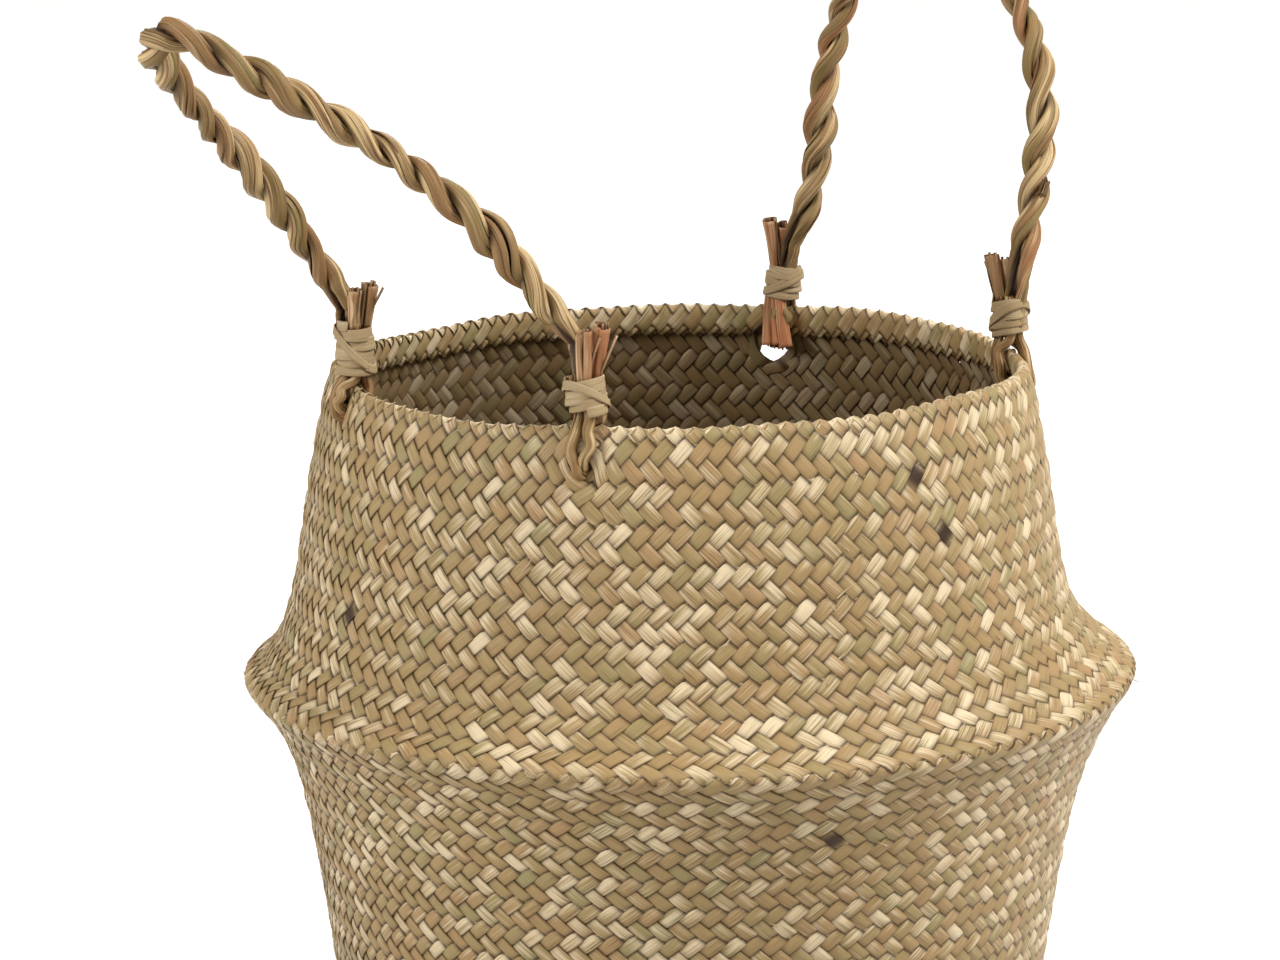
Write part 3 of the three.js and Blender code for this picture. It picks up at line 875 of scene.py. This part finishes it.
def laced_path(anchor, face, bottom):
    """From the rope's foot down one side of the wall, through the eye in a half circle and up
    the other side into the lashing. face is +1 when it starts outside. The legs bow apart
    on the way down, so each pair draws a teardrop."""
    outer, inner = 2.6, -8.6
    leg = (outer, inner) if face > 0 else (inner, outer)
    t = np.linspace(0, np.pi, 7)
    centre, reach = (outer + inner) / 2, (outer - inner) / 2
    turn = [beside_wall(anchor, centre + face * reach * np.cos(v), -1.3 * np.cos(v),
                        bottom + 0.7 * reach * (1 - np.sin(v))) for v in t]
    low, high = anchor["bottom"], anchor["top"]
    middle = (low + high) / 2
    bow = 0.55 * bottom + 0.45 * low

    def side_points(way, side):
        return [in_lashing(anchor, way * BUNDLE, side * BUNDLE, high - 1),
                in_lashing(anchor, way * BUNDLE, side * BUNDLE, middle),
                in_lashing(anchor, way * BUNDLE * 1.1, side * BUNDLE, low),
                beside_wall(anchor, leg[0 if side < 0 else 1], side * LACE["side"], low - 4.5),
                beside_wall(anchor, leg[0 if side < 0 else 1], side * LACE["belly"], bow)]
    return [*side_points(face, -1), *turn, *side_points(-face, 1)[::-1]]


STALK_LEAVES = 3       # wide leaves of a cut bundle
TORN_FIBRES = 4


def stalk(anchor, foot, tip, seed):
    """A cut bundle from foot to tip: three wide leaves closed round each other like a flattened
    stalk, with a few torn fibres that stand a little further out."""
    rng = np.random.default_rng(seed)
    grids = []
    onwards = np.sign(tip[2] - foot[2])
    for k in range(STALK_LEAVES + TORN_FIBRES):
        torn = k >= STALK_LEAVES
        short = 0 if torn else rng.uniform(-0.8, 0.8)
        end = tip + [rng.uniform(-1.8, 1.8) * torn, rng.uniform(-1.8, 1.8) * torn,
                     onwards * (short + 0.9 * torn)]
        if k == STALK_LEAVES + TORN_FIBRES - 1:
            end = end + anchor["aside"] * rng.uniform(2, 5) - [0, 0, onwards * rng.uniform(1, 5)]
        bend = anchor["aside"] * rng.uniform(-0.5, 0.5)
        path, _ = smooth_curve([foot, (foot + end) / 2 + bend, end], 1.4)
        axes = curve_axes(path, anchor["aside"])
        steps = len(path)
        angle = np.full(steps, 2 * np.pi * k / STALK_LEAVES + rng.uniform(-0.3, 0.3))
        radius = np.linspace(2.1, 2.9, steps) if not torn else np.full(steps, rng.uniform(0.4, 1.3))
        grids.append(leaf(path, axes, angle, radius, 1.15 if not torn else 0.3, 0.35,
                          (0.42 + 0.35 * torn, anchor["blush"], 0.0), seed * 10 + k))
    return grids


def tail_grids(anchor, face, seed):
    """A strand's cut end above the lashing, beside the rope."""
    foot = in_lashing(anchor, -face * BUNDLE, BUNDLE, anchor["top"] - 3)
    height = anchor["tail"] + 3 + 1.0 * face
    tip = foot + anchor["aside"] * (anchor["lean"] * height + 1.7 * face) + [0, 0, height]
    return stalk(anchor, foot, tip - anchor["away"] * anchor.get("inwards", 0), seed)


def laced_end(anchor, letter, face, bottom, seed):
    path, _ = smooth_curve(laced_path(anchor, face, bottom), 1.2)
    axes = curve_axes(path, anchor["along"])
    s = np.arange(len(path)) * 1.2
    grids = []
    for k in range(3):
        turn = 2 * np.pi * (k / 3 + s / 120) + 0.4 * k
        grids.append(leaf(path, axes, turn, 1.5 + 0.3 * (k % 2) + 0 * s, 1.35, 0.4,
                          (0.42, 0.5, 0.0), seed * 10 + k))
    piece = make_piece(f"{anchor['name']}_laced_{letter}", grids, ROPE)
    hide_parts(f"{anchor['name']}_lacing_{letter}")
    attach(piece, "basket")
    tail = make_piece(f"{anchor['name']}_tail_{letter}", tail_grids(anchor, face, seed + 50), FRAYED)
    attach(tail, "basket")


for n, anchor in enumerate(anchors):
    laced_end(anchor, "a", 1, anchor["eye"], 61 + 2 * n)
    laced_end(anchor, "b", -1, anchor["eye"] + LACE["pitch"], 62 + 2 * n)

# %% [markdown]
# ## The hanging bundle
#
# At the far left a spare bundle of the rope hangs inside the wall, cut off straight just
# above the open eye. It is three cut stalks side by side.

# %% A cut bundle inside the far left lashing
def hanging_end():
    """Three stalks side by side that hang from the lashing down the inside, to just above
    the eye."""
    anchor = next(a for a in anchors if a["name"] == "far_left")
    grids = []
    for k, along in enumerate((-3.6, 0.0, 3.6)):
        foot = in_lashing(anchor, -BUNDLE - 1.2, 0.8 * along, anchor["bottom"] + 2.5)
        tip = beside_wall(anchor, -11.5 - 0.4 * (k == 1), along + 1.0, 245.5 + 0.5 * k)
        grids += stalk(anchor, foot, tip, 480 + k)
    piece = make_piece("far_left_hanging_end", grids, FRAYED)
    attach(piece, "basket")


hanging_end()

# %% [markdown]
# ## Lashings
#
# A pale flat strip is wound round the four strands, from the bottom up, and one last
# wrap slants across the others. It is a ribbon along a spiral on a rounded square.

# %% Lashings
def wound_strip(anchor, angle, climb, outside, half, seed):
    """A flat strip wound on a rounded square, whose outline is a superellipse: radius = half
    width / (|cos|^p + |sin|^p)^(1/p). The strip's front is rounded, and each turn lies a
    little over the one below."""
    power = 2.6
    squareness = (np.abs(np.cos(angle)) ** power + np.abs(np.sin(angle)) ** power) ** (1 / power)
    radius = (LASHING_HALF - 0.4) / squareness + outside
    middle = (anchor["bottom"] + anchor["top"]) / 2
    path = anchor["centre"] + radius[:, None] * np.stack([np.cos(angle), np.sin(angle), 0 * angle], 1)
    path = path - (anchor["tilt"] * (climb - middle))[:, None] * anchor["aside"]
    tip_over = anchor["tilt"] * (path - anchor["centre"]) @ anchor["aside"]
    path[:, 2] = climb + tip_over
    out = np.stack([np.cos(angle), np.sin(angle), 0 * angle], 1)
    _, normal, side = curve_axes(path, out)
    u = np.array([-1, -0.8, -0.3, 0.3, 0.8, 1, 0.8, 0.3, -0.3, -0.8])
    edge = np.sqrt(np.clip(1 - u ** 4, 0, 1)) * np.where(np.arange(10) < 5, 1, -1)
    edge[[0, 5]] = 0
    stand = 0.38 * edge + 0.30 * u + 0.12 * np.sin(7 * u + 1)
    across = half[:, None] * u
    grid = path[:, None] + across[..., None] * side[:, None] + stand[None, :, None] * normal[:, None]
    fibre = np.stack(np.broadcast_arrays(across, (angle * 7)[:, None], 0 * across + seed), -1)
    # Painted highlight: both edges of the strip are painted paler.
    tone = 0.50 + 0.12 * np.sin(angle * 0.7 + seed)[:, None] + 0.18 * (np.abs(u) > 0.9) + 0 * grid[..., 0]
    # Painted shade: the back of the strip and one of its edges are painted dark.
    shade = 0 * tone + 0.4 * (edge < -0.1) + 0.25 * (u < -0.9)
    look = np.stack([tone, 0 * tone + 0.5, shade], -1)
    return grid[None], fibre[None], look[None]


def lashing(anchor, seed):
    """Turns that climb by one strip width each, and one slanting wrap outside them:
    its height swings as a sine once round."""
    rng = np.random.default_rng(seed)
    height = anchor["top"] - anchor["bottom"]
    turns = (height - 4.6) / 4.3 + 1
    t = np.linspace(0, 1, int(turns * 44))
    angle = 2 * np.pi * turns * t + rng.uniform(0, 6.28)
    climb = anchor["bottom"] + 2.3 + (height - 4.6) * t + 0.8 * np.sin(angle + rng.uniform(0, 6.28))
    outside = 0.45 * np.sin(angle * 0.5 + 1) + 0.25 * np.sin(angle * 2.3 + seed)
    half = 2.45 + 0.45 * np.sin(angle * 0.8 + 2)
    grids = [wound_strip(anchor, angle, climb, outside, half, seed)]
    t = np.linspace(0, 1, 52)
    angle = 2 * np.pi * (1.02 * t + 0.30) + anchor["angle"]
    swing = np.sin(angle - anchor["angle"] + 0.3 * seed)
    climb = (anchor["bottom"] + anchor["top"]) / 2 + (height / 2 - 3.4) * swing
    grids.append(wound_strip(anchor, angle, climb, 0.85 + 0 * t, 1.75 + 0.35 * np.sin(5 * t), seed + 40))
    piece = make_piece(f"{anchor['name']}_binding", grids, BINDING)
    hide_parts(f"{anchor['name']}_lashing")
    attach(piece, "basket")


for n, anchor in enumerate(anchors):
    lashing(anchor, 91 + n)

# %% [markdown]
# ## Splinters
#
# Dry seagrass sheds. Fine pale fibres lift off the wall here and there. They are thin
# ribbons that leave the surface at a low angle.

# %% Splinters
def splinters(count, seed):
    """Each splinter starts on the wall and runs along a strip's direction while it lifts as the
    square of its length."""
    rng = np.random.default_rng(seed)
    turn = rng.uniform(0, STRIPS, (count, 1))
    row = rng.uniform(first_row + 5, last_row - 4, (count, 1))
    way = rng.choice([-1, 1], (count, 1))
    length = rng.uniform(0.5, 1.6, (count, 1))
    t = np.linspace(0, 1, 7)[None, :]
    bend = rng.uniform(-0.3, 0.3, (count, 1)) * t ** 2
    lift = 1.5 + rng.uniform(0.3, 2.2, (count, 1)) * t ** 2
    centre_turn = turn + way * length * t / 2 + bend
    centre_row = row + length * t / 2
    width = rng.uniform(0.015, 0.045, (count, 1)) * (1 - 0.6 * t)
    u = np.array([-1.0, 0.0, 1.0, 0.0])
    ups = np.array([0.0, 1.0, 0.0, -1.0])
    points = wall_place(centre_turn[..., None] + width[..., None] * u,
                        centre_row[..., None] - way[..., None] * width[..., None] * u,
                        lift[..., None] + 0.10 * ups)
    zero = 0 * points[..., 0]
    fibre = np.stack(np.broadcast_arrays(u + zero, (t * 9)[..., None], zero + seed), -1)
    look = np.stack([zero + 0.95, zero + 0.4, zero], -1)
    return points, fibre, look


loose = make_piece("loose_splinters", [splinters(150, 77)], WOVEN)
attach(loose, "basket")

# %% [markdown]
# ## Floor and light
#
# The basket stands on a pale floor in soft studio light. The floor looks white to the
# camera, but it still takes the basket's shadow.

# %% Floor
def floor_material():
    """A matt floor that adds its own light for the camera alone. Where the lamps reach it the
    sum is white, and under the basket it stays grey."""
    material = bpy.data.materials.new("pale floor")
    material.use_nodes = True
    nodes, links = material.node_tree.nodes, material.node_tree.links
    matt = nodes["Principled BSDF"]
    matt.inputs["Base Color"].default_value = (0.55, 0.55, 0.55, 1)
    matt.inputs["Roughness"].default_value = 0.9
    rays = nodes.new("ShaderNodeLightPath")
    glow, both, choice = (nodes.new(f"ShaderNode{kind}") for kind in ("Emission", "AddShader", "MixShader"))
    glow.inputs["Strength"].default_value = 0.78
    any_view = nodes.new("ShaderNodeMath")
    any_view.operation = "MAXIMUM"
    links.new(rays.outputs["Is Camera Ray"], any_view.inputs[0])
    links.new(rays.outputs["Is Glossy Ray"], any_view.inputs[1])
    links.new(matt.outputs[0], both.inputs[0])
    links.new(glow.outputs[0], both.inputs[1])
    links.new(any_view.outputs[0], choice.inputs["Fac"])
    links.new(matt.outputs[0], choice.inputs[1])
    links.new(both.outputs[0], choice.inputs[2])
    links.new(choice.outputs[0], nodes["Material Output"].inputs["Surface"])
    return material


bpy.ops.mesh.primitive_plane_add(size=12)
floor = bpy.context.object
floor.name = "floor"
floor.data.materials.append(floor_material())

# %% [markdown]
# ## World
#
# A plain, slightly warm world lights the basket evenly from all sides. The camera sees
# white in its place.

# %% World
world = bpy.data.worlds.new("studio")
bpy.context.scene.world = world
world.use_nodes = True
sky = world.node_tree.nodes["Background"]
paths = world.node_tree.nodes.new("ShaderNodeLightPath")
seen = world.node_tree.nodes.new("ShaderNodeBackground")
mixer = world.node_tree.nodes.new("ShaderNodeMixShader")
sky.inputs["Color"].default_value = (1.0, 0.945, 0.85, 1)
sky.inputs["Strength"].default_value = 0.41
seen.inputs["Color"].default_value = (1, 1, 1, 1)
any_view = world.node_tree.nodes.new("ShaderNodeMath")
any_view.operation = "MAXIMUM"
world.node_tree.links.new(paths.outputs["Is Camera Ray"], any_view.inputs[0])
world.node_tree.links.new(paths.outputs["Is Transmission Ray"], any_view.inputs[1])
world.node_tree.links.new(any_view.outputs[0], mixer.inputs["Fac"])
world.node_tree.links.new(sky.outputs[0], mixer.inputs[1])
world.node_tree.links.new(seen.outputs[0], mixer.inputs[2])
world.node_tree.links.new(mixer.outputs[0], world.node_tree.nodes["World Output"].inputs["Surface"])


# %% [markdown]
# ## Lamps
#
# Three soft lamps: the key is high on the right, a wider one stands low on the left, and
# one is behind, so the far side isn't left dark.

# %% Lamps
def soft_lamp(name, azimuth, elevation, distance, size, power):
    """A square lamp that looks at the basket's middle from (azimuth, elevation)."""
    _, back = camera_axes(CAMERA["azimuth"] + azimuth, elevation)
    lamp = bpy.data.objects.new(name, bpy.data.lights.new(name, "AREA"))
    lamp.data.shape = "SQUARE"
    lamp.data.size = size
    lamp.data.energy = power
    lamp.location = Vector(back * distance) + Vector((0, 0, 0.2))
    lamp.rotation_mode = "QUATERNION"
    lamp.rotation_quaternion = Vector(-back).to_track_quat("-Z", "Y")
    bpy.context.scene.collection.objects.link(lamp)


soft_lamp("key", 70, 44, 1.8, 0.6, 28)
soft_lamp("fill", -60, 24, 2.2, 0.9, 24)
soft_lamp("back", 172, 42, 2.2, 1.0, 20)
bpy.context.scene.view_settings.view_transform = "Standard"
